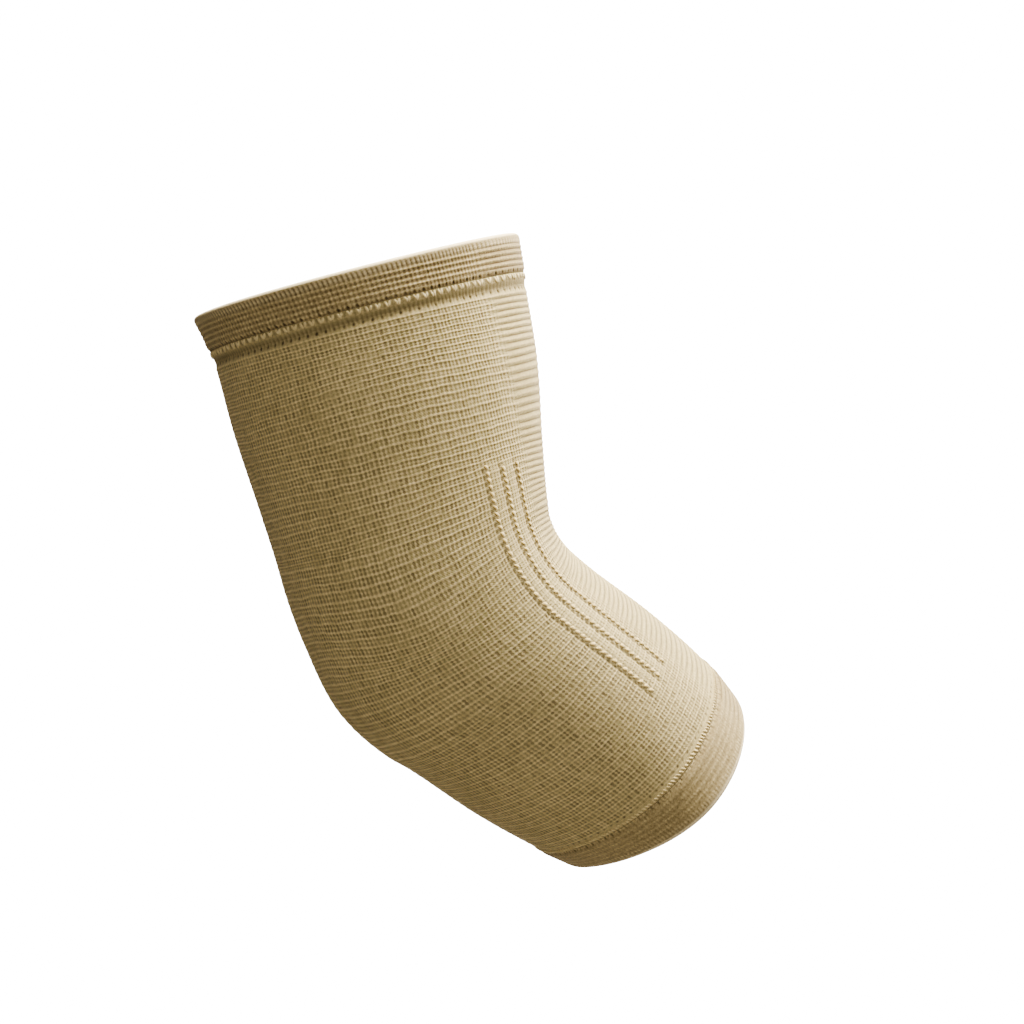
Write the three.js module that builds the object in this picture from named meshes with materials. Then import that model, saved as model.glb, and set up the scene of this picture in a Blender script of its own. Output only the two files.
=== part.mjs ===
// Pull-on elbow sleeve of ribbed elastic knit, bent as it is worn.
// Millimetres, +Z up. The sleeve's bend lies in the XZ plane and both halves, +Y and -Y, are alike.
// The origin is on the sleeve's centreline, in the middle of the bend. The upper opening looks up and
// leans back, towards -X. The lower opening looks forward and down, towards +X.
//
// A place on the sleeve is given by three numbers:
//   along   millimetres down the centreline from the upper rim
//   round   a column of the knit, turned into an angle: 0 at the crook, 180 at the point of the elbow
//   rise    millimetres out from the knit's outer face, so the inner face is at minus the wall

import * as THREE from 'three';

// The centreline: a straight run, a bend and a straight run.
const upperRun = 84.5;
const bendRadius = 61;
const bendAngle = 37.5;
const lowerRun = 73.5;
const upperLean = 15.5;

// Half sizes of the tube's oval section, front to back and side to side.
const upperHalfDepth = 52.5;
const upperHalfWidth = 50;
const elbowHalfDepth = 43;
const elbowHalfWidth = 43.5;
const lowerHalfDepth = 38;
const lowerHalfWidth = 37;

// The rims: how far each plane is tilted, and how far the sides run on past the front and back.
const upperRimTilt = 1.5;
const upperRimBow = -0.5;
const lowerRimTilt = -3.6;
const lowerRimBow = 6.8;
const rimReach = 60;

// The cloth.
const wall = 1.9;
const upperHemHeight = 12;
const lowerHemHeight = 13.2;
const hemOutside = 0.75;
const hemInside = 1;
const seamGap = 0.3;

// Beside each hem: the raised row that the sewing pulls up, and the valley behind it.
const stitchRise = 0.55;
const stitchHeight = 2.2;
const valleyDepth = 0.5;
const valleyHeight = 3.6;

// The two ribs on each side, between three grooves one rib apart.
const ribWidth = 6.4;
const ribRise = 0.75;
const grooveDepth = 0.55;
const ribStart = 66.5;
const ribLength = 98;
const ribFade = 3;
const ribAngleAtStart = 78.5;
const ribAngleAtEnd = 69.5;

// Columns of faces: to the front of the ribs, across one rib, and to the back of them. Rows of faces.
const frontColumns = 6;
const ribColumns = 4;
const backColumns = 9;
const outerRows = 40;
const innerRows = 20;
const foldSteps = 6;

// Sections of the knit's outer face. at is a share of the sleeve's length. The other columns are shares
// of the half sizes of the region that the row follows.
const UPPER = { depth: upperHalfDepth, width: upperHalfWidth };
const ELBOW = { depth: elbowHalfDepth, width: elbowHalfWidth };
const LOWER = { depth: lowerHalfDepth, width: lowerHalfWidth };
const sections = [
  { at: 0.00, follows: UPPER, front: 0.98, back: 1.01, side: 1.00 },
  { at: 0.04, follows: UPPER, front: 0.97, back: 0.97, side: 0.98 },
  { at: 0.09, follows: UPPER, front: 0.96, back: 0.95, side: 0.97 },
  { at: 0.20, follows: UPPER, front: 0.92, back: 0.94, side: 0.95 },
  { at: 0.33, follows: ELBOW, front: 1.00, back: 1.10, side: 1.04 },
  { at: 0.43, follows: ELBOW, front: 0.92, back: 1.07, side: 1.01 },
  { at: 0.50, follows: ELBOW, front: 0.91, back: 1.08, side: 1.00 },
  { at: 0.57, follows: ELBOW, front: 0.91, back: 1.13, side: 0.99 },
  { at: 0.67, follows: ELBOW, front: 0.92, back: 1.05, side: 0.98 },
  { at: 0.80, follows: LOWER, front: 1.12, back: 1.11, side: 1.10 },
  { at: 0.92, follows: LOWER, front: 1.14, back: 0.99, side: 1.03 },
  { at: 1.00, follows: LOWER, front: 1.07, back: 0.88, side: 0.98 },
];

const radians = THREE.MathUtils.degToRad;
const bendLength = bendRadius * radians(bendAngle);
const length = upperRun + bendLength + lowerRun;
const ribEnd = ribStart + ribLength;

// The slope at a row of the table, from the rows beside it.
function slope(rows, i, size) {
  const low = Math.max(i - 1, 0);
  const high = Math.min(i + 1, rows.length - 1);
  return (size(rows[high]) - size(rows[low])) / (rows[high].at - rows[low].at);
}

// A size at a share of the length, on a smooth curve through the table's rows.
function between(rows, share, size) {
  const t = THREE.MathUtils.clamp(share, 0, 1);
  let i = 0;
  while (i < rows.length - 2 && rows[i + 1].at < t) i += 1;
  const span = rows[i + 1].at - rows[i].at;
  const x = (t - rows[i].at) / span;
  const a = size(rows[i]);
  const b = size(rows[i + 1]);
  const goingOut = slope(rows, i, size) * span;
  const comingIn = slope(rows, i + 1, size) * span;
  const fall = 2 * x ** 3 - 3 * x ** 2 + 1;
  return fall * a + (1 - fall) * b + x * (1 - x) ** 2 * goingOut - x ** 2 * (1 - x) * comingIn;
}

const frontAt = (along) => between(sections, along / length, (row) => row.front * row.follows.depth);
const backAt = (along) => between(sections, along / length, (row) => row.back * row.follows.depth);
const sideAt = (along) => between(sections, along / length, (row) => row.side * row.follows.width);

// The centreline's heading, in radians from straight down towards +X.
function headingAt(along) {
  const turned = THREE.MathUtils.clamp(along - upperRun, 0, bendLength) / bendRadius;
  return radians(upperLean) + turned;
}

// The centreline's place, measured from the middle of the bend.
function centreAt(along) {
  const middle = radians(upperLean + bendAngle / 2);
  const heading = headingAt(along);
  const arc = new THREE.Vector3(
    bendRadius * (Math.cos(middle) - Math.cos(heading)),
    0,
    bendRadius * (Math.sin(middle) - Math.sin(heading)),
  );
  const straight = Math.min(along - upperRun, 0) + Math.max(along - upperRun - bendLength, 0);
  return arc.add(new THREE.Vector3(Math.sin(heading), 0, -Math.cos(heading)).multiplyScalar(straight));
}

// How strongly each rim's tilt and bow are felt at a place along the sleeve.
const upperRimPull = (along) => Math.max(0, 1 - along / rimReach) ** 2;
const lowerRimPull = (along) => Math.max(0, 1 - (length - along) / rimReach) ** 2;

// The point at a place on the sleeve.
function pointAt(along, angle, rise) {
  const nearUpper = upperRimPull(along);
  const nearLower = lowerRimPull(along);
  const heading = headingAt(along) + radians(upperRimTilt * nearUpper + lowerRimTilt * nearLower);
  const turn = radians(angle);
  const depth = Math.cos(turn) > 0 ? frontAt(along) : backAt(along);
  const width = sideAt(along);
  const out = new THREE.Vector2(Math.cos(turn) * width, Math.sin(turn) * depth).normalize();
  const across = Math.cos(turn) * depth + out.x * rise;
  const sideways = Math.sin(turn) * width + out.y * rise;
  const bow = Math.sin(turn) ** 2 * (lowerRimBow * nearLower - upperRimBow * nearUpper);
  return centreAt(along).add(new THREE.Vector3(
    across * Math.cos(heading) + bow * Math.sin(heading),
    -sideways,
    across * Math.sin(heading) - bow * Math.cos(heading),
  ));
}

// The middle groove's angle, and the angle that one rib spans.
const grooveAngleAt = (along) => THREE.MathUtils.mapLinear(
  along, ribStart, ribEnd, ribAngleAtStart, ribAngleAtEnd);
const ribSpanAt = (along) => THREE.MathUtils.radToDeg(ribWidth / frontAt(along));

// The faces' columns, as ribs counted from the middle groove and the angle that each has at a place.
const ribEdge = 1.5;
function columnsAt(along) {
  const middle = grooveAngleAt(along);
  const span = ribSpanAt(along);
  const first = middle - ribEdge * span;
  const last = middle + ribEdge * span;
  const across = Math.round(2 * ribEdge * ribColumns);
  const half = [];
  for (let i = 0; i < frontColumns; i += 1) {
    half.push({ angle: first * i / frontColumns, rib: -ribEdge });
  }
  for (let i = 0; i <= across; i += 1) {
    const rib = -ribEdge + i / ribColumns;
    half.push({ angle: middle + rib * span, rib });
  }
  for (let i = 1; i <= backColumns; i += 1) {
    half.push({ angle: last + (180 - last) * i / backColumns, rib: ribEdge });
  }
  const other = half.slice(1, -1).reverse().map(({ angle, rib }) => ({ angle: -angle, rib }));
  return [...half, ...other];
}

// A rounded bump of height 1 at 0 that is gone at 1 and -1.
const bump = (x) => (Math.abs(x) < 1 ? Math.cos(x * Math.PI / 2) ** 2 : 0);

// What the ribs add to the outer face.
function ribRelief(along, rib) {
  const ends = Math.min(along - ribStart, ribEnd - along) / ribFade;
  const shown = THREE.MathUtils.smoothstep(ends, 0, 1);
  const raised = Math.abs(rib) < 1 ? ribRise * Math.sin(Math.PI * Math.abs(rib)) ** 0.5 : 0;
  const cut = grooveDepth * (bump(4 * rib) + bump(4 * (rib - 1)) + bump(4 * (rib + 1)));
  return shown * (raised - cut);
}

// What the sewing adds to the outer face beside a hem, by the distance from the hem.
function sewnRelief(fromHem) {
  const raised = stitchRise * bump(2 * fromHem / stitchHeight - 1);
  const sunk = valleyDepth * bump(2 * (fromHem - stitchHeight) / valleyHeight - 1);
  return raised - sunk;
}

// A closed skin over a loop of rings. Each ring is a list of { along, rise }, one for each column.
function skin(rings) {
  const count = columnsAt(0).length;
  const positions = [];
  for (const ring of rings) {
    columnsAt(ring.along).forEach(({ angle, rib }) => {
      positions.push(...pointAt(ring.along, angle, ring.rise(rib)).toArray());
    });
  }
  const index = [];
  for (let i = 0; i < rings.length; i += 1) {
    const next = (i + 1) % rings.length;
    for (let j = 0; j < count; j += 1) {
      const k = (j + 1) % count;
      const [a, b, c, d] = [i * count + j, i * count + k, next * count + k, next * count + j];
      index.push(a, b, c, a, c, d);
    }
  }
  const geometry = new THREE.BufferGeometry();
  geometry.setAttribute('position', new THREE.Float32BufferAttribute(positions, 3));
  geometry.setIndex(index);
  geometry.computeVertexNormals();
  return geometry;
}

// The knitted tube, between the two hems: outer face down, inner face back up.
function sleeveTube() {
  const top = upperHemHeight + seamGap;
  const bottom = length - lowerHemHeight - seamGap;
  const stops = [0, 0.25, 0.5, 0.75, 1, 1.3, 1.6, 2];
  const beside = stops.map((s) => Math.min(s, 1) * stitchHeight + Math.max(s - 1, 0) * valleyHeight);
  const reach = beside[beside.length - 1];
  const outer = beside.slice(0, -1).map((d) => top + d);
  for (let i = 0; i <= outerRows; i += 1) {
    outer.push(THREE.MathUtils.lerp(top + reach, bottom - reach, i / outerRows));
  }
  outer.push(...beside.slice(0, -1).reverse().map((d) => bottom - d));
  const rings = outer.map((along) => ({
    along,
    rise: (rib) => ribRelief(along, rib) + sewnRelief(along - top) + sewnRelief(bottom - along),
  }));
  for (let i = 0; i <= innerRows; i += 1) {
    rings.push({ along: THREE.MathUtils.lerp(bottom, top, i / innerRows), rise: () => -wall });
  }
  return skin(rings);
}

// A hem: the cloth folded to double thickness, round at the rim and square at the seam.
// rim and seam are places along the sleeve.
function hem(rim, seam) {
  const down = Math.sign(seam - rim);
  const middle = (hemOutside - wall - hemInside) / 2;
  const half = (hemOutside + wall + hemInside) / 2;
  const rings = [];
  for (let i = 0; i <= foldSteps; i += 1) {
    const turn = Math.PI * i / foldSteps;
    const along = rim + down * half * (1 - Math.sin(turn));
    const rise = middle - half * Math.cos(turn);
    rings.push({ along, rise: () => rise });
  }
  const start = rim + down * half;
  for (const share of [0.33, 0.67, 1]) {
    rings.push({ along: THREE.MathUtils.lerp(start, seam, share), rise: () => hemOutside });
  }
  for (const share of [1, 0.5]) {
    rings.push({ along: THREE.MathUtils.lerp(start, seam, share), rise: () => -wall - hemInside });
  }
  return skin(down > 0 ? rings : rings.reverse());
}

const knit = new THREE.MeshStandardMaterial({ color: 0xb9a172, roughness: 0.95, metalness: 0 });
const bandKnit = new THREE.MeshStandardMaterial({ color: 0xc2ab7e, roughness: 0.95, metalness: 0 });

function named(name, geometry, material) {
  const mesh = new THREE.Mesh(geometry, material);
  mesh.name = name;
  return mesh;
}

const elbowBrace = new THREE.Group();
elbowBrace.add(named('sleeve_tube', sleeveTube(), knit));
elbowBrace.add(named('upper_hem', hem(0, upperHemHeight), bandKnit));
elbowBrace.add(named('lower_hem', hem(length, length - lowerHemHeight), bandKnit));

export default elbowBrace;
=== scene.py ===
import math

import bmesh
import bpy
import numpy as np
from mathutils import Matrix, Vector


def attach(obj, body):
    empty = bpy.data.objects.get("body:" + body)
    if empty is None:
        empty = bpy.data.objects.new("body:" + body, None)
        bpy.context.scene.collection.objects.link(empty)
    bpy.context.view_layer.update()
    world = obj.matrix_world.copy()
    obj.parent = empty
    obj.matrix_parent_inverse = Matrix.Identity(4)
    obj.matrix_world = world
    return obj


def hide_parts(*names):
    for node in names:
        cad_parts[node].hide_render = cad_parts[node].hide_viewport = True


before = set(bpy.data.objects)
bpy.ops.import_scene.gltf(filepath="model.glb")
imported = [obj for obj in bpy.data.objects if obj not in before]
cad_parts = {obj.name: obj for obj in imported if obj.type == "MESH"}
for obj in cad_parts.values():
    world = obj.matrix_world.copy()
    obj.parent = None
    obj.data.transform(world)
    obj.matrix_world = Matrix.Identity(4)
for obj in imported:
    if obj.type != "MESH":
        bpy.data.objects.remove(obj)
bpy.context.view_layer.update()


# The camera
# The photo was taken from in front of the bend and a little below it, through a long lens. The line of
# sight is given by two angles, and the aim by how far the picture's middle lies from the frame's origin.
mm = 0.001
sight_azimuth = math.radians(-27.9)
sight_elevation = math.radians(-6.4)
sight_distance = 1.0
aim_to_the_right = 20.7 * mm
aim_up = 26.5 * mm
lens_length = 112.5
film_width = 36.0

towards_camera = Vector((
    math.sin(sight_azimuth) * math.cos(sight_elevation),
    -math.cos(sight_azimuth) * math.cos(sight_elevation),
    math.sin(sight_elevation),
))
camera_right = Vector((math.cos(sight_azimuth), math.sin(sight_azimuth), 0.0))
camera_up = towards_camera.cross(camera_right)
aim = camera_right * aim_to_the_right + camera_up * aim_up

camera_data = bpy.data.cameras.new("camera")
camera_data.lens = lens_length
camera_data.sensor_width = film_width
camera = bpy.data.objects.new("camera", camera_data)
turn = Matrix((camera_right, camera_up, towards_camera)).transposed()
camera.matrix_world = Matrix.Translation(aim + towards_camera * sight_distance) @ turn.to_4x4()
bpy.context.scene.collection.objects.link(camera)
bpy.context.scene.camera = camera
bpy.context.scene.view_settings.view_transform = "AgX"
bpy.context.scene.view_settings.look = "AgX - High Contrast"


# The studio
# A plain white surround, a wide pale floor below the camera that fades into it, and soft lights: a large
# one above the crook, which also catches the rims, and weaker ones in front, at the edge and behind.
floor_height = -300 * mm
floor_size = 16.0
floor_plain = 1.2
floor_lost = 3.6
surround_white = 6.0
surround_light = 0.34


def add_node(tree, kind, settings=None, **links):
    """Adds a node with its settings, and fills its inputs by name with values, sockets or whole nodes.

    The inputs in0, in1 and so on go by their number, and a whole node stands for its first output.
    """
    node = tree.nodes.new(kind)
    for name, value in (settings or {}).items():
        setattr(node, name, value)
    for name, value in links.items():
        socket = node.inputs[int(name[2:]) if name[2:].isdigit() else name.replace("_", " ")]
        if isinstance(value, bpy.types.Node):
            value = value.outputs[0]
        if isinstance(value, bpy.types.NodeSocket):
            tree.links.new(value, socket)
        else:
            socket.default_value = value
    return node


def colour(code):
    """An sRGB hex colour as the linear values that a shader takes."""
    parts = [int(code[i:i + 2], 16) / 255 for i in (1, 3, 5)]
    return tuple(p / 12.92 if p <= 0.04045 else ((p + 0.055) / 1.055) ** 2.4 for p in parts) + (1.0,)


world = bpy.data.worlds.new("white surround")
bpy.context.scene.world = world
world.use_nodes = True
world.node_tree.nodes.clear()
seen = add_node(world.node_tree, "ShaderNodeLightPath")
soft = add_node(world.node_tree, "ShaderNodeBackground", Color=colour("#fff6e8"), Strength=surround_light)
white = add_node(world.node_tree, "ShaderNodeBackground", Color=(1, 1, 1, 1), Strength=surround_white)
either = add_node(
    world.node_tree, "ShaderNodeMixShader",
    in0=seen.outputs["Is Camera Ray"], in1=soft, in2=white,
)
add_node(world.node_tree, "ShaderNodeOutputWorld", Surface=either)


def soft_light(name, to_the_right, upwards, forwards, size, power, tint):
    """A square studio light that looks at the sleeve from a place given in the camera's directions."""
    data = bpy.data.lights.new(name, "AREA")
    data.size = size
    data.energy = power
    data.color = colour(tint)[:3]
    light = bpy.data.objects.new(name, data)
    place = aim + camera_right * to_the_right + camera_up * upwards + towards_camera * forwards
    turn = (place - aim).to_track_quat("Z", "Y").to_matrix()
    light.matrix_world = Matrix.Translation(place) @ turn.to_4x4()
    bpy.context.scene.collection.objects.link(light)


soft_light(
    "key_light", to_the_right=0.26, upwards=1.17, forwards=0.08, size=0.7, power=44.0, tint="#fff9ee",
)
soft_light(
    "front_light", to_the_right=0.1, upwards=0.65, forwards=1.2, size=0.7, power=3.8, tint="#fffbf4",
)
soft_light(
    "edge_light", to_the_right=1.0, upwards=0.72, forwards=-0.45, size=0.7, power=17.0, tint="#fff8ec",
)
soft_light(
    "back_light", to_the_right=0.35, upwards=0.4, forwards=-1.4, size=0.9, power=9.0, tint="#fffaf2",
)

floor_mesh = bpy.data.meshes.new("floor")
floor_shape = bmesh.new()
bmesh.ops.create_grid(floor_shape, x_segments=1, y_segments=1, size=floor_size / 2)
bmesh.ops.translate(floor_shape, vec=(0, 0, floor_height), verts=floor_shape.verts)
floor_shape.to_mesh(floor_mesh)
floor_shape.free()
floor = bpy.data.objects.new("floor", floor_mesh)
bpy.context.scene.collection.objects.link(floor)
# Matt white paint, plain near the sleeve and lost in the white surround far off. It sends less light up than
# it shows to the camera, so that the underside keeps its shade.
floor_paint = bpy.data.materials.new("matt white floor paint")
floor_paint.use_nodes = True
floor_paint.node_tree.nodes.clear()
tree = floor_paint.node_tree
seen = add_node(tree, "ShaderNodeLightPath")
paint_seen = add_node(
    tree, "ShaderNodeMix", {"data_type": "RGBA"},
    in0=seen.outputs["Is Camera Ray"], in6=colour("#72706c"), in7=colour("#eae9e6"),
)
paint = add_node(tree, "ShaderNodeBsdfPrincipled", Base_Color=paint_seen.outputs[2], Roughness=0.9)
spot = add_node(tree, "ShaderNodeTexCoord")
away = add_node(tree, "ShaderNodeVectorMath", {"operation": "LENGTH"}, in0=spot.outputs["Object"])
fading = add_node(
    tree, "ShaderNodeMapRange", {"interpolation_type": "SMOOTHSTEP"},
    Value=away.outputs["Value"], From_Min=floor_plain, From_Max=floor_lost,
)
white_out = add_node(tree, "ShaderNodeEmission", Color=(1, 1, 1, 1), Strength=surround_white)
lost = add_node(
    tree, "ShaderNodeMath", {"operation": "MULTIPLY"}, in0=fading, in1=seen.outputs["Is Camera Ray"],
)
mix = add_node(tree, "ShaderNodeMixShader", in0=lost, in1=paint, in2=white_out)
add_node(tree, "ShaderNodeOutputMaterial", Surface=mix)
floor_mesh.materials.append(floor_paint)


# The knitted tube
# One tube of elastic rib knit: covered rubber is laid into every course, which stands up as a ridge with a
# painted highlight along it, and cotton wales cross from ridge to ridge with two small holes between them.
# It is made flat, with x as the wale and y as the row, and then laid round the sleeve. It is in three lengths
# that meet in a valley.
upper_run = 84.5 * mm
bend_radius = 61 * mm
bend_angle = 37.5
lower_run = 73.5 * mm
upper_lean = 15.5
upper_size = {"depth": 52.5 * mm, "width": 50 * mm}
elbow_size = {"depth": 43 * mm, "width": 43.5 * mm}
lower_size = {"depth": 38 * mm, "width": 37 * mm}
sections = [
    {"at": 0.00, "follows": upper_size, "front": 0.98, "back": 1.01, "side": 1.00},
    {"at": 0.04, "follows": upper_size, "front": 0.97, "back": 0.97, "side": 0.98},
    {"at": 0.09, "follows": upper_size, "front": 0.96, "back": 0.95, "side": 0.97},
    {"at": 0.20, "follows": upper_size, "front": 0.92, "back": 0.94, "side": 0.95},
    {"at": 0.33, "follows": elbow_size, "front": 1.00, "back": 1.10, "side": 1.04},
    {"at": 0.43, "follows": elbow_size, "front": 0.92, "back": 1.07, "side": 1.01},
    {"at": 0.50, "follows": elbow_size, "front": 0.91, "back": 1.08, "side": 1.00},
    {"at": 0.57, "follows": elbow_size, "front": 0.91, "back": 1.13, "side": 0.99},
    {"at": 0.67, "follows": elbow_size, "front": 0.92, "back": 1.05, "side": 0.98},
    {"at": 0.80, "follows": lower_size, "front": 1.12, "back": 1.11, "side": 1.10},
    {"at": 0.92, "follows": lower_size, "front": 1.14, "back": 0.99, "side": 1.03},
    {"at": 1.00, "follows": lower_size, "front": 1.07, "back": 0.88, "side": 0.98},
]
upper_rim_tilt = 1.5
upper_rim_bow = -0.5 * mm
lower_rim_tilt = -3.6
lower_rim_bow = 6.8 * mm
rim_reach = 60 * mm
wall = 1.9 * mm
upper_hem_height = 12 * mm
lower_hem_height = 13.2 * mm
hem_outside = 0.75 * mm
hem_inside = 1.0 * mm
bend_length = bend_radius * math.radians(bend_angle)
sleeve_length = upper_run + bend_length + lower_run

# The grooves beside the crook, and how the wales are shared out between them on each half.
rib_width = 6.4 * mm
rib_start = 66.5 * mm
rib_length = 98 * mm
rib_rise = 0.22 * mm
groove_depth = 0.22 * mm
groove_half = 0.12
dash_darkness = 0.80
dash_half_width = 0.10
dash_half_length = 0.36
rib_fade = 3 * mm
rib_tightness = 0.55
rib_angle_at_start = 78.5
rib_angle_at_end = 69.5
crook_wales = 33
rib_wales = 15
outer_wales = 51
half_wales = crook_wales + rib_wales + outer_wales
wales = 2 * half_wales

# The courses. They fan out over the bend: a share of the courses lies at another distance along the
# sleeve in the crook, in front of the side, at the side and on the outside of the bend. Each column stands
# at a cosine of the angle from the crook, and the distances are in mm.
courses = 74
upper_row = 1.99 * mm
lower_row = 1.08 * mm
course_places = {"crook": 1.0, "front": 0.6, "side": -0.1, "outside": -1.0}
course_lines = [
    {"share": 0.00, "crook": 18.1, "front": 18.1, "side": 18.1, "outside": 18.1},
    {"share": 0.12, "crook": 34.6, "front": 35.8, "side": 35.9, "outside": 38.1},
    {"share": 0.24, "crook": 57.4, "front": 57.6, "side": 59.0, "outside": 59.2},
    {"share": 0.34, "crook": 72.8, "front": 72.4, "side": 75.3, "outside": 79.3},
    {"share": 0.42, "crook": 82.8, "front": 83.3, "side": 88.3, "outside": 89.6},
    {"share": 0.50, "crook": 102.6, "front": 98.8, "side": 101.8, "outside": 99.3},
    {"share": 0.60, "crook": 119.0, "front": 119.4, "side": 116.0, "outside": 111.3},
    {"share": 0.70, "crook": 134.5, "front": 134.9, "side": 131.4, "outside": 125.3},
    {"share": 0.83, "crook": 153.8, "front": 154.2, "side": 154.6, "outside": 147.8},
    {"share": 1.00, "crook": 181.4, "front": 181.4, "side": 181.4, "outside": 181.4},
]

# The relief of the knit, out from the cloth's face.
ridge_height = 0.11 * mm
wale_height = 0.04 * mm
rung_height = -0.07 * mm
hole_depth = -0.25 * mm
stripe_depth = -0.10 * mm
inner_wale_height = 0.12 * mm
columns_per_wale = 2
rows_per_course = 6


def between(x, ats, values):
    """A smooth curve through the rows of a table, with each row's slope taken from its neighbours."""
    last = len(ats) - 1
    slopes = [
        (values[min(i + 1, last)] - values[max(i - 1, 0)]) / (ats[min(i + 1, last)] - ats[max(i - 1, 0)])
        for i in range(last + 1)
    ]
    ats, values, slopes = np.array(ats), np.array(values), np.array(slopes)
    row = np.clip(np.searchsorted(ats, x, side="left") - 1, 0, last - 1)
    span = ats[row + 1] - ats[row]
    u = (x - ats[row]) / span
    fade = 2 * u**3 - 3 * u**2 + 1
    rise = u * (1 - u) ** 2 * slopes[row] * span
    fall = u**2 * (1 - u) * slopes[row + 1] * span
    return fade * values[row] + (1 - fade) * values[row + 1] + rise - fall


def section_half(along, edge):
    """Half of the tube's depth in front or at the back, or half of its width at the side."""
    measure = "width" if edge == "side" else "depth"
    sizes = [row["follows"][measure] * row[edge] for row in sections]
    return between(along / sleeve_length, [row["at"] for row in sections], sizes)


def on_sleeve(along, angle, rise):
    """Points on the sleeve: along from the upper rim, angle from the crook, rise out from the cloth."""
    near_upper = np.maximum(0, 1 - along / rim_reach) ** 2
    near_lower = np.maximum(0, 1 - (sleeve_length - along) / rim_reach) ** 2
    bend = np.radians(upper_lean) + np.clip(along - upper_run, 0, bend_length) / bend_radius
    heading = bend + np.radians(upper_rim_tilt * near_upper + lower_rim_tilt * near_lower)
    depth = np.where(np.cos(angle) > 0, section_half(along, "front"), section_half(along, "back"))
    width = section_half(along, "side")
    out = np.stack((np.cos(angle) * width, np.sin(angle) * depth))
    out = out / np.linalg.norm(out, axis=0)
    across = np.cos(angle) * depth + out[0] * rise
    sideways = np.sin(angle) * width + out[1] * rise
    bow = np.sin(angle) ** 2 * (lower_rim_bow * near_lower - upper_rim_bow * near_upper)
    middle = math.radians(upper_lean + bend_angle / 2)
    straight = np.minimum(along - upper_run, 0) + np.maximum(along - upper_run - bend_length, 0)
    x = bend_radius * (math.cos(middle) - np.cos(bend)) + straight * np.sin(bend)
    z = bend_radius * (math.sin(middle) - np.sin(bend)) - straight * np.cos(bend)
    x = x + across * np.cos(heading) + bow * np.sin(heading)
    z = z + across * np.sin(heading) - bow * np.cos(heading)
    return np.stack((x, -sideways, z), axis=-1)


def wale_angle(wale, along):
    """The angle of a wale. The crook's, the ribs' and the outer wales each share their own stretch."""
    mirrored = wale > half_wales
    wale = np.where(mirrored, wales - wale, wale)
    share = (along - rib_start) / rib_length
    middle = rib_angle_at_start + (rib_angle_at_end - rib_angle_at_start) * share
    span = np.degrees(rib_width / section_half(along, "front"))
    first, last = middle - 1.5 * span, middle + 1.5 * span
    in_crook = first * wale / crook_wales
    in_ribs = first + (last - first) * (wale - crook_wales) / rib_wales
    outer = last + (180 - last) * (wale - crook_wales - rib_wales) / outer_wales
    angle = np.where(wale < crook_wales, in_crook, np.where(wale < crook_wales + rib_wales, in_ribs, outer))
    return np.radians(np.where(mirrored, 360 - angle, angle))


def course_along(course, wale):
    """How far along the sleeve a course lies at a wale: a smooth curve through the table's columns, in mm."""
    share = np.clip(course / courses, 0, 1)
    shares = [row["share"] for row in course_lines]
    lines = {key: between(share, shares, [row[key] * mm for row in course_lines]) for key in course_places}
    turn = np.cos(wale_angle(wale, lines["side"]))
    along = 0
    for key, at in course_places.items():
        others = [other for other in course_places.values() if other != at]
        along = along + lines[key] * np.prod([(turn - other) / (at - other) for other in others], axis=0)
    return along + np.minimum(course, 0) * upper_row + np.maximum(course - courses, 0) * lower_row


def unevenness(x, y, x_step, y_step, seed):
    """Smooth unevenness from -1 to 1, the same on each run, that closes up round the sleeve."""
    columns = max(1, round(wales / x_step))
    grid = np.random.default_rng(seed).uniform(-1, 1, (columns, 256))
    column, row = x / wales * columns, y / y_step + 64
    i, j = np.floor(column).astype(int), np.floor(row).astype(int)
    u, v = column - i, row - j
    u, v = u * u * (3 - 2 * u), v * v * (3 - 2 * v)
    near = grid[i % columns, j] * (1 - v) + grid[i % columns, j + 1] * v
    far = grid[(i + 1) % columns, j] * (1 - v) + grid[(i + 1) % columns, j + 1] * v
    return near * (1 - u) + far * u


def step(x, start, end):
    """0 before start, 1 after end, and a smooth change between them."""
    t = np.clip((x - start) / (end - start), 0, 1)
    return t * t * (3 - 2 * t)


def bump(x):
    """A round bump, 1 in its middle and 0 from -1 outwards and from 1 outwards."""
    return np.where(np.abs(x) < 1, np.cos(np.clip(x, -1, 1) * np.pi / 2) ** 2, 0)


def at_each(x):
    """A smooth wave, 1 at each whole number and 0 halfway between two."""
    return 0.5 + 0.5 * np.cos(2 * np.pi * x)


def needle_places(wale):
    """1 where a needle goes in, midway between two wales at every other gap, and 0 at the others."""
    return np.maximum(0, np.cos(np.pi * (wale - 0.5))) ** 2


def folded_wales(wale):
    """The wale's number counted from the crook, the same on both halves."""
    return np.where(wale > half_wales, wales - wale, wale)


def ribs_shown(along):
    """1 where the ribs run, and 0 above and below them."""
    rib_end = rib_start + rib_length
    starts = step(along, rib_start - rib_fade, rib_start + rib_fade)
    return starts * (1 - step(along, rib_end - rib_fade, rib_end + rib_fade))


def in_crook(wale):
    """1 in the crook, where the courses are pushed together and their meshes shut, and 0 elsewhere."""
    return 1 - step(folded_wales(wale), crook_wales - 5, crook_wales + 1)


def openness(wale, along):
    """How open the knit is: holes show on the outside, less on the ribs and not in the crook."""
    past_crook = folded_wales(wale) - crook_wales
    ribs = step(past_crook, 1, 3) * (1 - step(past_crook, rib_wales - 3, rib_wales - 1))
    return (1 - in_crook(wale)) * (1 - rib_tightness * ribs * ribs_shown(along))


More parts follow.
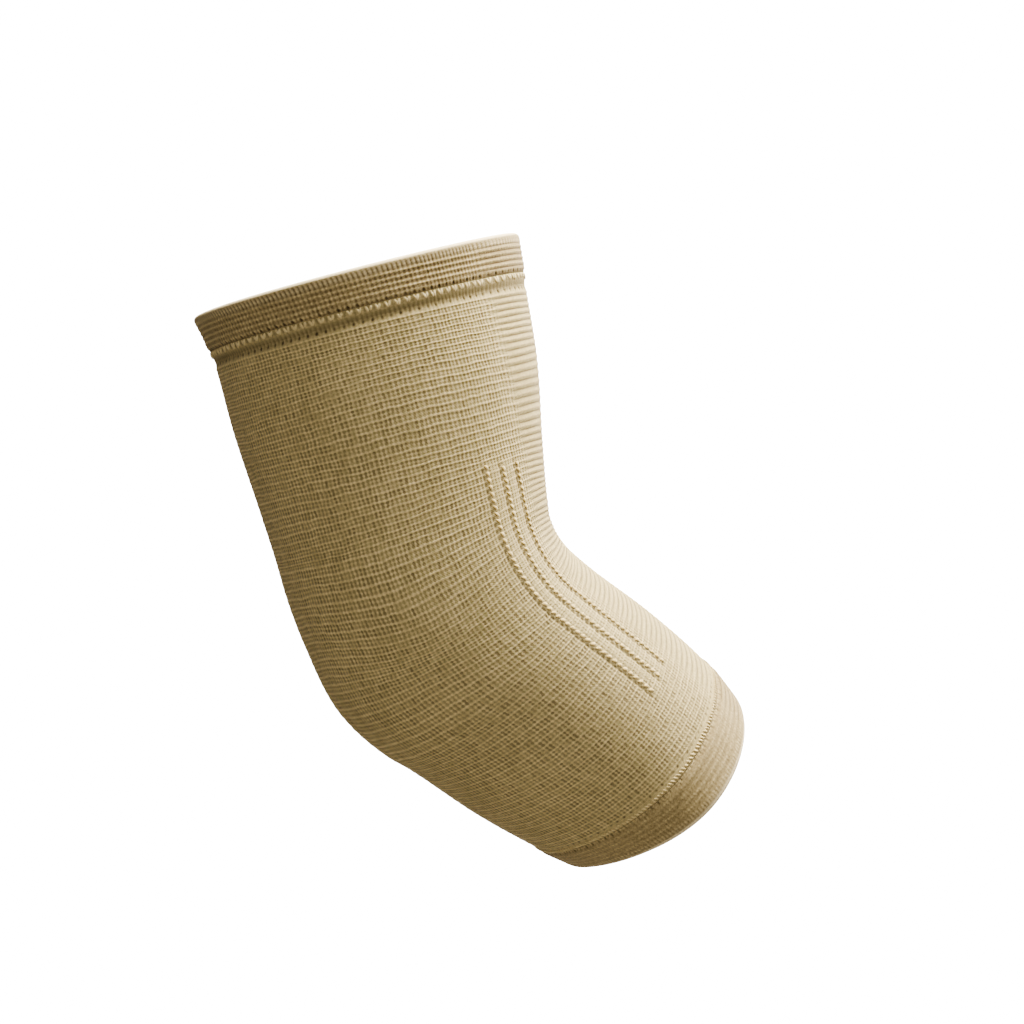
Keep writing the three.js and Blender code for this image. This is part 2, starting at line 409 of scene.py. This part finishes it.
def knit_relief(wale, course, along):
    """The knit's relief: ridges along the courses, wales across them, and two holes in each mesh."""
    ridge = np.maximum(0, np.cos(2 * np.pi * course))
    rung = np.maximum(0, -np.cos(2 * np.pi * course))
    on_wale = at_each(wale)
    open_here = openness(wale, along)
    gap = rung * rung_height + (1 - rung) * hole_depth
    gap = wale_height + (gap - wale_height) * open_here
    low = on_wale * wale_height + (1 - on_wale) * gap
    low = low + (stripe_depth - low) * in_crook(wale)
    high = ridge_height * (0.86 + 0.14 * on_wale)
    return ridge * high + (1 - ridge) * low


def across_ribs(wale):
    """How far across the two ribs a wale lies: -1, 0 and 1 at the three grooves."""
    return (folded_wales(wale) - crook_wales) / rib_wales * 3 - 1.5


def rib_relief(wale, along):
    """The two raised ribs and the three grooves on each half."""
    rib = across_ribs(wale)
    crown = np.where(np.abs(rib) < 1, np.sin(np.pi * np.abs(rib)), 0)
    grooves = sum(bump((rib - place) / groove_half) for place in (-1, 0, 1))
    return ribs_shown(along) * (rib_rise * crown - groove_depth * grooves)


def groove_dashes(wale, course, along):
    """Painted shade in the gaps in the grooves, one long dash for each course."""
    near = sum(bump((across_ribs(wale) - place) / dash_half_width) for place in (-1, 0, 1))
    return dash_darkness * ribs_shown(along) * near * bump((course % 1 - 0.5) / dash_half_length)


def lay_round(name, rows, finish):
    """Makes a ring of cloth from one flat grid, with a column for each half wale and a row for each of rows.

    finish places the grid's points on the sleeve and gives their marks. The ring and its section are then
    closed by welding the grid's edges, and the rows that say so stay sharp.
    """
    columns = wales * columns_per_wale
    shape = bmesh.new()
    bmesh.ops.create_grid(shape, x_segments=columns, y_segments=len(rows) - 1, size=0.5)
    bmesh.ops.translate(shape, vec=(0.5, 0.5, 0), verts=shape.verts)
    bmesh.ops.scale(shape, vec=(columns, len(rows) - 1, 1), verts=shape.verts)
    mesh = bpy.data.meshes.new(name)
    shape.to_mesh(mesh)
    shape.free()
    flat = np.empty(len(mesh.vertices) * 3)
    mesh.vertices.foreach_get("co", flat)
    flat = flat.reshape(-1, 3)
    wale = flat[:, 0] / columns_per_wale
    row = np.rint(flat[:, 1]).astype(int)
    table = {key: np.array([r[key] for r in rows], dtype=float)[row] for key in rows[0]}
    placed, marks = finish(wale, table)
    mesh.vertices.foreach_set("co", placed.ravel())
    for mark, values in marks.items():
        attribute = mesh.attributes.new(mark, "FLOAT", "POINT")
        attribute.data.foreach_set("value", np.ascontiguousarray(values, dtype=np.float32))
    add_maps(mesh, flat, wale, table)
    ends = np.empty(len(mesh.edges) * 2, dtype=np.int64)
    mesh.edges.foreach_get("vertices", ends)
    one, other = ends[0::2], ends[1::2]
    crisp = (row[one] == row[other]) & (table["crisp"][one] > 0)
    mesh.attributes.new("sharp_edge", "BOOLEAN", "EDGE").data.foreach_set("value", crisp)
    shape = bmesh.new()
    shape.from_mesh(mesh)
    bmesh.ops.remove_doubles(shape, verts=shape.verts, dist=0.002 * mm)
    bmesh.ops.recalc_face_normals(shape, faces=shape.faces)
    for face in shape.faces:
        face.smooth = True
    shape.to_mesh(mesh)
    shape.free()
    return mesh


def add_maps(mesh, flat, wale, table):
    """The knit's own map, in wales and courses, and a second, evenly spread one."""
    corners = np.empty(len(mesh.loops), dtype=np.int64)
    mesh.loops.foreach_get("vertex_index", corners)
    knit = np.stack((wale[corners], table["course"][corners]), axis=-1)
    mesh.uv_layers.new(name="Knit").data.foreach_set("uv", knit.ravel())
    face_of_corner = np.repeat(np.arange(len(mesh.polygons)), 4)
    column = flat[corners, 0] / (wales * columns_per_wale)
    middle_column = np.zeros(len(mesh.polygons))
    np.add.at(middle_column, face_of_corner, column / 4)
    depth = table["spread"][corners]
    middle_depth = np.zeros(len(mesh.polygons))
    np.add.at(middle_depth, face_of_corner, depth / 4)
    inside = middle_depth[face_of_corner] > 1
    second = (middle_column[face_of_corner] > 0.5) & ~inside
    u = np.where(inside, column, column * 2 - second)
    v = np.where(inside, 0.8 + (depth - 1) * 0.2, depth * 0.4 + second * 0.4)
    margin = 0.01
    spread = margin + (1 - 2 * margin) * np.stack((u, v), axis=-1)
    mesh.uv_layers.new(name="OFBake").data.foreach_set("uv", spread.ravel())


def knit_material(name, holes_per_course, yarn, pale_and_lit_yarn, hole_shade_colour, folded):
    """Cotton over elastic, knitted: matt yarn with a soft fuzz, with painted highlights on its ridges and
    loops, painted shade in its holes, grooves and crook valleys and beside the sewing, and a pale fold that
    is partly the elastic's own colour and partly a painted highlight.

    The meshes are drawn from the cloth's own map, in which a wale or a course is one unit. No two are quite
    alike: each has its own tightness and paleness. A hole is as wide as half a wale, 0.7 mm. Cotton fibres
    are too fine to show, so they are drawn 0.3 mm wide.
    """
    mottle_size = 18.18 * mm
    fleck_size = 0.7143 * mm
    fibre_size = 0.3125 * mm
    hole_darkness = 0.40
    stripe_darkness = 1.4
    needle_darkness = 2.2
    maths = "ShaderNodeMath"
    times = {"operation": "MULTIPLY"}
    times_plus = {"operation": "MULTIPLY_ADD"}
    power = {"operation": "POWER"}
    larger = {"operation": "MAXIMUM"}
    blend = {"data_type": "RGBA"}
    # At this scale a wave repeats once in each unit of the map.
    once_a_unit = 2 * math.pi / 20

    material = bpy.data.materials.new(name)
    material.use_nodes = True
    tree = material.node_tree
    tree.nodes.clear()
    knit_map = add_node(tree, "ShaderNodeUVMap", {"uv_map": "Knit"})
    place = add_node(tree, "ShaderNodeTexCoord").outputs["Object"]
    marks = {
        mark: add_node(tree, "ShaderNodeAttribute", {"attribute_name": mark}).outputs["Fac"]
        for mark in ("Openness", "Crook valley shade", "Hole and groove shade", "Pale")
    }
    waves = {
        wave: add_node(
            tree, "ShaderNodeTexWave", {"bands_direction": direction},
            Vector=knit_map, Scale=once_a_unit * per_unit, Phase_Offset=phase,
        ).outputs["Fac"]
        for wave, direction, per_unit, phase in (
            ("on wale", "X", 1, math.pi),
            ("between wales", "X", 1, 0.0),
            ("on course", "Y", 1, math.pi),
            ("between courses", "Y", 1, 0.0),
            ("on bar", "Y", holes_per_course, math.pi),
            ("row of holes", "Y", holes_per_course, 0.0),
        )
    }
    mesh_number = add_node(tree, "ShaderNodeVectorMath", {"operation": "FLOOR"}, in0=knit_map)
    chance = add_node(tree, "ShaderNodeTexWhiteNoise", {"noise_dimensions": "3D"}, Vector=mesh_number)
    chance = add_node(tree, "ShaderNodeSeparateColor", Color=chance.outputs["Color"])
    tightness, joined, lightness = chance.outputs

    row_of_holes = waves["row of holes"]
    ridge = add_node(tree, maths, power, in0=waves["on course"], in1=4.0)
    if holes_per_course == 2:
        middle = add_node(tree, maths, power, in0=waves["between courses"], in1=3.0)
        into_one = add_node(tree, maths, times, in0=joined, in1=0.6)
        row_of_holes = add_node(tree, maths, times_plus, in0=middle, in1=into_one, in2=row_of_holes)
    else:
        by_wale = add_node(tree, maths, times_plus, in0=waves["on wale"], in1=0.8, in2=0.2)
        ridge = add_node(tree, maths, times, in0=ridge, in1=by_wale)
    hole = add_node(tree, maths, times, in0=waves["between wales"], in1=row_of_holes)
    hole = add_node(tree, maths, times, in0=hole, in1=marks["Openness"])
    hole = add_node(
        tree, "ShaderNodeMapRange", {"interpolation_type": "SMOOTHSTEP"},
        Value=hole, From_Min=0.04, From_Max=0.50,
    )
    own_depth = add_node(tree, maths, times_plus, in0=tightness, in1=0.75, in2=0.45)
    hole = add_node(tree, maths, times, in0=hole, in1=own_depth)
    # Painted shade in the valleys between the crook's courses.
    stripe = add_node(tree, maths, power, in0=waves["between courses"], in1=6.0)
    stripe_here = add_node(tree, maths, times, in0=marks["Crook valley shade"], in1=stripe_darkness)
    stripe = add_node(tree, maths, times, in0=stripe, in1=stripe_here)
    # Painted shade in the needle holes, in the gaps in the grooves and in the valley beside the sewing.
    hole_and_groove_shade = add_node(tree, maths, times, in0=marks["Hole and groove shade"], in1=needle_darkness)
    hole = add_node(tree, maths, larger, in0=hole, in1=stripe)
    hole = add_node(tree, maths, larger, in0=hole, in1=hole_and_groove_shade)

    mottle = add_node(
        tree, "ShaderNodeTexNoise", Vector=place, Scale=1 / mottle_size, Detail=3.0, Roughness=0.6,
    )
    fleck = add_node(
        tree, "ShaderNodeTexNoise", Vector=place, Scale=1 / fleck_size, Detail=2.0, Roughness=0.7,
    )
    tone = add_node(tree, maths, times, in0=mottle.outputs["Fac"], in1=0.18)
    tone = add_node(tree, maths, times_plus, in0=fleck.outputs["Fac"], in1=0.82, in2=tone)
    tone = add_node(tree, maths, times_plus, in0=tone, in1=1.4, in2=-0.50)
    # Painted highlight on the loops where a wale crosses a bar and along each course's ridge; the random tone
    # and each mesh's own paleness are the yarn's own.
    crossing = add_node(tree, maths, times, in0=waves["on wale"], in1=waves["on bar"])
    crossing_here = add_node(tree, maths, {"operation": "ADD"}, in0=marks["Openness"], in1=0.1)
    crossing = add_node(tree, maths, times, in0=crossing, in1=crossing_here)
    paleness = add_node(tree, maths, times, in0=crossing, in1=0.46)
    paleness = add_node(tree, maths, times_plus, in0=ridge, in1=0.22, in2=paleness)
    own_paleness = add_node(tree, maths, times_plus, in0=lightness, in1=1.1, in2=0.45)
    paleness = add_node(tree, maths, times_plus, in0=paleness, in1=own_paleness, in2=tone)
    paleness = add_node(tree, "ShaderNodeClamp", Value=paleness)
    yarns = add_node(tree, "ShaderNodeMix", blend, in0=paleness, in6=colour(yarn), in7=colour(pale_and_lit_yarn))
    # The holes and the marks above are darkened towards the hole colour: painted shade.
    darkness = add_node(tree, maths, times, in0=hole, in1=hole_darkness)
    shaded = add_node(tree, "ShaderNodeMix", blend, in0=darkness, in6=yarns.outputs[2], in7=colour(hole_shade_colour))
    # The fold and the teeth are painted pale: partly the covered elastic's own colour, partly a painted
    # highlight.
    edged = add_node(
        tree, "ShaderNodeMix", blend, in0=marks["Pale"], in6=shaded.outputs[2], in7=colour(folded),
    )

    fibres = add_node(
        tree, "ShaderNodeTexNoise", Vector=place, Scale=1 / fibre_size, Detail=2.0, Roughness=0.6,
    )
    slant = add_node(
        tree, "ShaderNodeVectorMath", {"operation": "DOT_PRODUCT"},
        in0=knit_map, in1=(4 * math.pi, 6 * math.pi, 0.0),
    )
    twist = add_node(tree, maths, {"operation": "SINE"}, in0=slant.outputs["Value"])
    height = add_node(tree, maths, times, in0=twist, in1=0.16)
    height = add_node(tree, maths, times_plus, in0=fibres.outputs["Fac"], in1=0.6, in2=height)
    height = add_node(tree, maths, times_plus, in0=crossing, in1=0.30, in2=height)
    height = add_node(tree, maths, times_plus, in0=hole, in1=-0.7, in2=height)
    surface = add_node(tree, "ShaderNodeBump", Height=height, Strength=0.55, Distance=0.3 * mm)
    cloth = add_node(
        tree, "ShaderNodeBsdfPrincipled",
        Base_Color=edged.outputs[2], Roughness=0.92, Normal=surface,
        Specular_IOR_Level=0.25, Sheen_Weight=0.30, Sheen_Roughness=0.45, Sheen_Tint=colour("#fff1da"),
    )
    add_node(tree, "ShaderNodeOutputMaterial", Surface=cloth)
    return material


# The tube's knit is openwork: matt sand-coloured cotton with a painted highlight along each course and on
# the loops, and two rows of small holes to a course, darkened with painted shade.
body_knit = knit_material(
    "cotton and covered elastic rib knit", 2,
    yarn="#a69a74", pale_and_lit_yarn="#dccba1", hole_shade_colour="#5a503a", folded="#e6dabb",
)

# The flat sizes are those of the cloth before it is pulled on: a fifth less round than the worn sleeve.
lengths = [
    {"name": "upper_knit", "from": -3.0, "to": 24.5, "flat": (0.240, 0.063)},
    {"name": "elbow_knit", "from": 24.5, "to": 49.5, "flat": (0.222, 0.056)},
    {"name": "lower_knit", "from": 49.5, "to": courses + 3.0, "flat": (0.202, 0.056)},
]


# The rows beside the sewing, by their distance from the first and the last full course.
upper_raised_row = {"middle": 4.9 * mm, "half": 1.5 * mm}
upper_valley = {"middle": 2.0 * mm, "half": 2.2 * mm}
lower_raised_row = {"middle": 2.3 * mm, "half": 1.3 * mm}
raised_row_height = 0.25 * mm
valley_depth = 0.65 * mm
drawn_wale_height = 0.35 * mm


def round_band(distance, place):
    """A round band, 1 at its middle and 0 from half its width outwards."""
    return bump((distance - place["middle"]) / place["half"])


def sewn_relief(course, wale):
    """Beside each hem: the row pulled up by the sewing, and the valley where the wales are drawn out."""
    on_wale = at_each(wale)
    above = -course * upper_row
    below = (course - courses) * lower_row
    raised = np.where(course < 0, round_band(above, upper_raised_row), round_band(below, lower_raised_row))
    valley = np.where(course < 0, round_band(above, upper_valley), 0)
    return raised * raised_row_height - valley * (valley_depth - drawn_wale_height * on_wale)


def sewing_holes(course, wale):
    """Painted shade in the needle holes at every other wale, between the drawn wales and in the valley."""
    on_wale = at_each(wale)
    every_other = needle_places(wale) * (0.75 + 0.4 * unevenness(wale, 0 * wale, 2, 1, 43))
    upper = 0.5 * (1 - on_wale) * bump((course + 2.5) / 0.9)
    upper = upper + every_other * bump((course + 0.6) / 0.42)
    upper = upper + (0.34 + 0.4 * (1 - on_wale)) * bump((course + 1.15) / 1.2)
    lower = every_other * bump((course - courses - 0.6) / 0.62)
    return np.where(course < 0, upper, lower)


def place_length(wale, table):
    """Lays one length of the tube: its outer face with the knit's relief, its inner face nearly smooth."""
    course, inner = table["course"], table["inner"]
    wander = 0.10 * unevenness(wale, course, 9, 2.2, 11) + 0.07 * unevenness(wale, course, 2, 1.3, 13)
    wander = wander * step(course, 0, 3) * (1 - step(course, courses - 3, courses))
    wander = wander * (1 - 0.55 * in_crook(wale))
    along = course_along(course + wander * (1 - inner), wale)
    body = step(course, -0.3, 0.0) * (1 - step(course, courses, courses + 0.3))
    uneven = 1 + 0.20 * unevenness(wale, course, 3, 0.9, 5) + 0.30 * unevenness(wale, course, 1, 0.5, 31)
    uneven = 1 + (uneven - 1) * (1 - 0.6 * in_crook(wale))
    sideways = 0.17 * unevenness(wale, course, 1.6, 1.1, 29) * (1 - inner)
    outer_rise = body * knit_relief(wale, course, along) * uneven + (1 - body) * sewn_relief(course, wale)
    outer_rise = outer_rise + rib_relief(wale, along)
    inner_rise = -wall - inner_wale_height * np.cos(2 * np.pi * wale)
    rise = outer_rise * (1 - inner) + inner_rise * inner
    meshes = 0.92 + 0.22 * unevenness(wale, course, 1.3, 0.7, 3)
    # The marks for the holes, the grooves and the crook's valleys carry painted shade.
    marks = {
        "Openness": openness(wale, along) * body * meshes * (1 - 0.6 * inner),
        "Crook valley shade": in_crook(wale) * body * (1 - inner),
        "Hole and groove shade": (sewing_holes(course, wale) + groove_dashes(wale, course, along)) * (1 - inner),
        "Pale": 0.45 * inner,
    }
    return on_sleeve(along, wale_angle((wale + sideways) % wales, along), rise), marks


for length in lengths:
    outer = np.arange(length["from"], length["to"] + 0.001, 1 / rows_per_course)
    inner = np.linspace(length["to"], length["from"], round(length["to"] - length["from"]) + 1)
    rows = [{"course": c, "inner": 0, "spread": k / (len(outer) - 1)} for k, c in enumerate(outer)]
    rows += [{"course": c, "inner": 1, "spread": 1 + (k + 1) / (len(inner) + 1)} for k, c in enumerate(inner)]
    rows += [{"course": length["from"], "inner": 0, "spread": 2}]
    for k, row in enumerate(rows):
        row["crisp"] = int(k in (0, len(outer) - 1, len(outer), len(rows) - 2, len(rows) - 1))
    knit_mesh = lay_round(length["name"], rows, place_length)
    knit_mesh.materials.append(body_knit)
    knit = bpy.data.objects.new(length["name"], knit_mesh)
    bpy.context.scene.collection.objects.link(knit)
    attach(knit, "root")
    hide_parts("sleeve_tube")


# The hems
# At each opening the tube is folded inwards to double cloth and sewn down. The fold is a smooth pale edge,
# partly the covered elastic's own colour and partly a painted highlight, with the wales drawn out over it
# like teeth, and the doubled band stands a little proud of the tube.

# The doubled knit is denser: it shows one row of small holes to a course, painted shade between the wales
# and a pale fold, partly a painted highlight. Its yarn is darker than the tube's, partly as painted shade.
hem_knit = knit_material(
    "cotton and covered elastic rib knit, doubled", 1,
    yarn="#8f8060", pale_and_lit_yarn="#d6c69e", hole_shade_colour="#4f442c", folded="#e6d9b8",
)
hems = [
    {"name": "upper_hem", "height": upper_hem_height, "course": 1.7 * mm, "fold": 0.6 * mm, "teeth": 1.0,
     "holes": 0.66, "needle": 1.3, "relief": 0.8, "flat": (0.248, 0.0135)},
    {"name": "lower_hem", "height": lower_hem_height, "course": 2.0 * mm, "fold": 1.3 * mm, "teeth": 0.4,
     "holes": 0.20, "needle": 0.7, "relief": 0.38, "flat": (0.184, 0.0145)},
]
fold_steps = 8
hem_ridge_height = 0.16 * mm
hem_hole_depth = 0.24 * mm
hem_crook_depth = 0.10 * mm
fold_end = {"from": 2.3 * mm, "to": 3.0 * mm}
fold_teeth = {"middle": 2.4 * mm, "half": 1.6 * mm}
tooth_gap_depth = 0.30 * mm
sewn_width = 1.6 * mm
sewn_depth = 0.55 * mm
needle_row = {"middle": 0.5 * mm, "half": 1.0 * mm}


def hem_rows(height, course_height):
    """Rows of a hem: down its outer face from the seam to the rim, round the fold, and back up inside."""
    thickness = hem_outside + wall + hem_inside
    radius = thickness / 2
    rows = []
    count = round((height - radius) / course_height * rows_per_course)
    for k in range(count + 1):
        away = height - (height - radius) * k / count
        rows.append({"away": away, "lift": hem_outside, "inner": 0})
    for k in range(1, fold_steps):
        turn = math.pi * k / fold_steps
        rows.append({
            "away": radius * (1 - math.sin(turn)), "lift": hem_outside - radius * (1 - math.cos(turn)),
            "inner": k / fold_steps,
        })
    inner_count = round(height / course_height)
    for k in range(inner_count + 1):
        away = radius + (height - radius) * k / inner_count
        rows.append({"away": away, "lift": -wall - hem_inside, "inner": 1})
    rows.append({"away": height, "lift": hem_outside, "inner": 0})
    last = len(rows) - 1
    for k, row in enumerate(rows):
        row["course"] = row["away"] / course_height + 0.5
        row["spread"] = k / count if k <= count else 1 + (k - count) / (last - count)
        row["crisp"] = int(k in (0, last - 1, last))
    return rows


for hem in hems:
    upper = hem["name"] == "upper_hem"

    def place_hem(wale, table):
        """Lays a hem round its opening. Its distances are counted from the rim."""
        away, inner = table["away"], table["inner"]
        along = away if upper else sleeve_length - away
        on_wale = at_each(wale)
        ridge = np.maximum(0, np.cos(2 * np.pi * table["course"]))
        outside = 1 - step(inner, 0.1, 0.5)
        edge = 1 - step(away, fold_end["from"], fold_end["to"])
        open_here = openness(wale, along)
        hole = (1 - on_wale) * hem_hole_depth * open_here
        hollow = (1 - ridge) * (hole + hem_crook_depth * in_crook(wale))
        below_fold = round_band(away, fold_teeth) * hem["teeth"]
        teeth = (1 - on_wale) * below_fold
        relief = (ridge * hem_ridge_height - hollow) * (1 - edge) - teeth * tooth_gap_depth
        relief = relief * outside * hem["relief"] * (1 + 0.25 * unevenness(wale, away / mm, 3, 1.3, 17))
        sewn_in = step(away, hem["height"] - sewn_width, hem["height"])
        rise = table["lift"] - sewn_in * (1 - inner) * sewn_depth + relief * (1 - sewn_in)
        # Painted shade in the needle holes beside the sewing.
        needle = hem["needle"] * (0.8 + 0.4 * unevenness(wale, 0 * wale, 2, 1, 37))
        needle = needle * needle_places(wale) * round_band(hem["height"] - away, needle_row)
        meshes = hem["holes"] + 0.20 * unevenness(wale, away / mm, 1.3, 1.0, 23)
        # The fold and the teeth on the wales are painted pale, partly as a painted highlight; the gaps
        # between the teeth get painted shade.
        pale = np.maximum(1 - step(away, hem["fold"], hem["fold"] + 0.6 * mm), 0.55 * on_wale * below_fold)
        marks = {
            "Openness": open_here * (1 - edge) * meshes * outside,
            "Crook valley shade": in_crook(wale) * (1 - edge) * outside,
            "Hole and groove shade": (needle + teeth * 0.55 * (1 - in_crook(wale))) * outside,
            "Pale": np.maximum(pale, 0.45 * inner),
        }
        return on_sleeve(along, wale_angle(wale, along), rise), marks

    hem_mesh = lay_round(hem["name"] + "_knit", hem_rows(hem["height"], hem["course"]), place_hem)
    hem_mesh.materials.append(hem_knit)
    band = bpy.data.objects.new(hem["name"] + "_band", hem_mesh)
    bpy.context.scene.collection.objects.link(band)
    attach(band, "root")
    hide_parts(hem["name"])


# The sewing
# Pale cotton thread holds each hem down. It pulls the tube's last row up into a band of long upright loops,
# one on each wale, close against the hem.
loop_sides = 6
loop_rings = 4
upper_stitch = {"from": 12.25 * mm, "to": 14.15 * mm, "half": 0.37, "height": 0.34 * mm, "stands": 0.20 * mm}
lower_stitch = {"from": 13.45 * mm, "to": 14.85 * mm, "half": 0.36, "height": 0.34 * mm, "stands": 0.24 * mm}
fluff_size = 0.6667 * mm
ply_spacing = 0.4031 * mm

# Cotton sewing thread: pale, matt and fluffy, with slanting plies 0.4 mm apart that catch a little light.
sewing_thread = bpy.data.materials.new("soft cotton sewing thread")
sewing_thread.use_nodes = True
tree = sewing_thread.node_tree
tree.nodes.clear()
place = add_node(tree, "ShaderNodeTexCoord").outputs["Object"]
fluff = add_node(tree, "ShaderNodeTexNoise", Vector=place, Scale=1 / fluff_size, Detail=3.0, Roughness=0.65)
tint = add_node(
    tree, "ShaderNodeMix", {"data_type": "RGBA"},
    in0=fluff.outputs["Fac"], in6=colour("#b29f70"), in7=colour("#ecdfba"),
)
plies = add_node(
    tree, "ShaderNodeTexWave", {"bands_direction": "DIAGONAL"},
    Vector=place, Scale=2 * math.pi / (10 * math.sqrt(3)) / ply_spacing, Distortion=1.5,
)
lump = add_node(
    tree, "ShaderNodeMath", {"operation": "MULTIPLY_ADD"},
    in0=plies.outputs["Fac"], in1=0.4, in2=fluff.outputs["Fac"],
)
surface = add_node(tree, "ShaderNodeBump", Height=lump, Strength=0.4, Distance=0.2 * mm)
thread = add_node(
    tree, "ShaderNodeBsdfPrincipled",
    Base_Color=tint.outputs[2], Roughness=0.85, Normal=surface,
    Specular_IOR_Level=0.3, Sheen_Weight=0.4, Sheen_Roughness=0.4, Sheen_Tint=colour("#fff8ea"),
)
add_node(tree, "ShaderNodeOutputMaterial", Surface=thread)


def lay_loops(name, loops, half_width, height, finish):
    """Lays low loops of yarn on the sleeve, each a long round bead from one place to another.

    A loop is the distances along the sleeve and the wales of its two ends, and how far it stands up.
    """
    shape = bmesh.new()
    for from_along, from_wale, to_along, to_wale, stands in loops:
        bead = bmesh.ops.create_uvsphere(
            shape, u_segments=loop_sides, v_segments=loop_rings, radius=1.0,
        )["verts"]
        local = np.array([v.co for v in bead])
        share = 0.5 + 0.5 * local[:, 2]
        along = from_along + (to_along - from_along) * share
        wale = from_wale + (to_wale - from_wale) * share + half_width * local[:, 0]
        placed = on_sleeve(along, wale_angle(wale, along), stands + height * local[:, 1])
        for v, co in zip(bead, placed):
            v.co = co
    bmesh.ops.recalc_face_normals(shape, faces=shape.faces)
    for face in shape.faces:
        face.smooth = True
    mesh = bpy.data.meshes.new(name)
    shape.to_mesh(mesh)
    shape.free()
    mesh.materials.append(finish)
    piece = bpy.data.objects.new(name, mesh)
    bpy.context.scene.collection.objects.link(piece)
    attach(piece, "root")


shifts = np.random.default_rng(41).uniform(-1, 1, (wales, 3))
upper_loops = [
    (
        upper_stitch["from"] + 0.12 * mm * shifts[w, 0], w + 0.10 * shifts[w, 1],
        upper_stitch["to"] + 0.25 * mm * shifts[w, 2], w + 0.25 * shifts[w, 1] + 0.42 * (-1) ** w,
        upper_stitch["stands"],
    )
    for w in range(wales)
]
lower_loops = [
    (
        sleeve_length - lower_stitch["from"] - 0.10 * mm * shifts[w, 0], w - 0.30 + 0.10 * shifts[w, 1],
        sleeve_length - lower_stitch["to"] - 0.15 * mm * shifts[w, 2], w + 0.30 + 0.15 * shifts[w, 1],
        lower_stitch["stands"],
    )
    for w in range(wales)
]
for hem_name, loops, stitch in (
    ("upper_hem", upper_loops, upper_stitch),
    ("lower_hem", lower_loops, lower_stitch),
):
    piece_name, slot = hem_name + "_stitching", hem_name + "_knit"
    lay_loops(piece_name, loops, stitch["half"], stitch["height"], sewing_thread)


# The chains beside the grooves
# Along each groove, on its crook side, one wale is knitted as a chain: a round loop of pale yarn stands up
# from each course, a little aslant.
chain_half_width = 0.64
chain_height = 0.30 * mm
chain_stands = 0.20 * mm
chain_beside_groove = 1.15

# The same soft cotton, a little less pale than the sewing thread, so that the chains show by their shape.
chain_yarn = sewing_thread.copy()
chain_yarn.name = "pale cotton rib yarn"
chain_tint = next(node for node in chain_yarn.node_tree.nodes if node.type == "MIX")
chain_tint.inputs[6].default_value = colour("#b3a070")
chain_tint.inputs[7].default_value = colour("#dfcd9f")
chains = []
for mirrored in (False, True):
    for groove in (rib_wales * (place + 1.5) / 3 for place in (-1, 0, 1)):
        for course in range(1, courses):
            lean = 0.22 + 0.12 * math.sin(7.0 * course + groove)
            ends = []
            for at, side in ((course - 0.40, lean), (course + 0.42, -lean)):
                beside = crook_wales + groove - chain_beside_groove + side
                beside = wales - beside if mirrored else beside
                ends += [float(course_along(np.array([at]), np.array([beside]))[0]), beside]
            if rib_start < ends[0] and ends[2] < rib_start + rib_length:
                chains.append((*ends, chain_stands))
lay_loops("rib_chains", chains, chain_half_width, chain_height, chain_yarn)
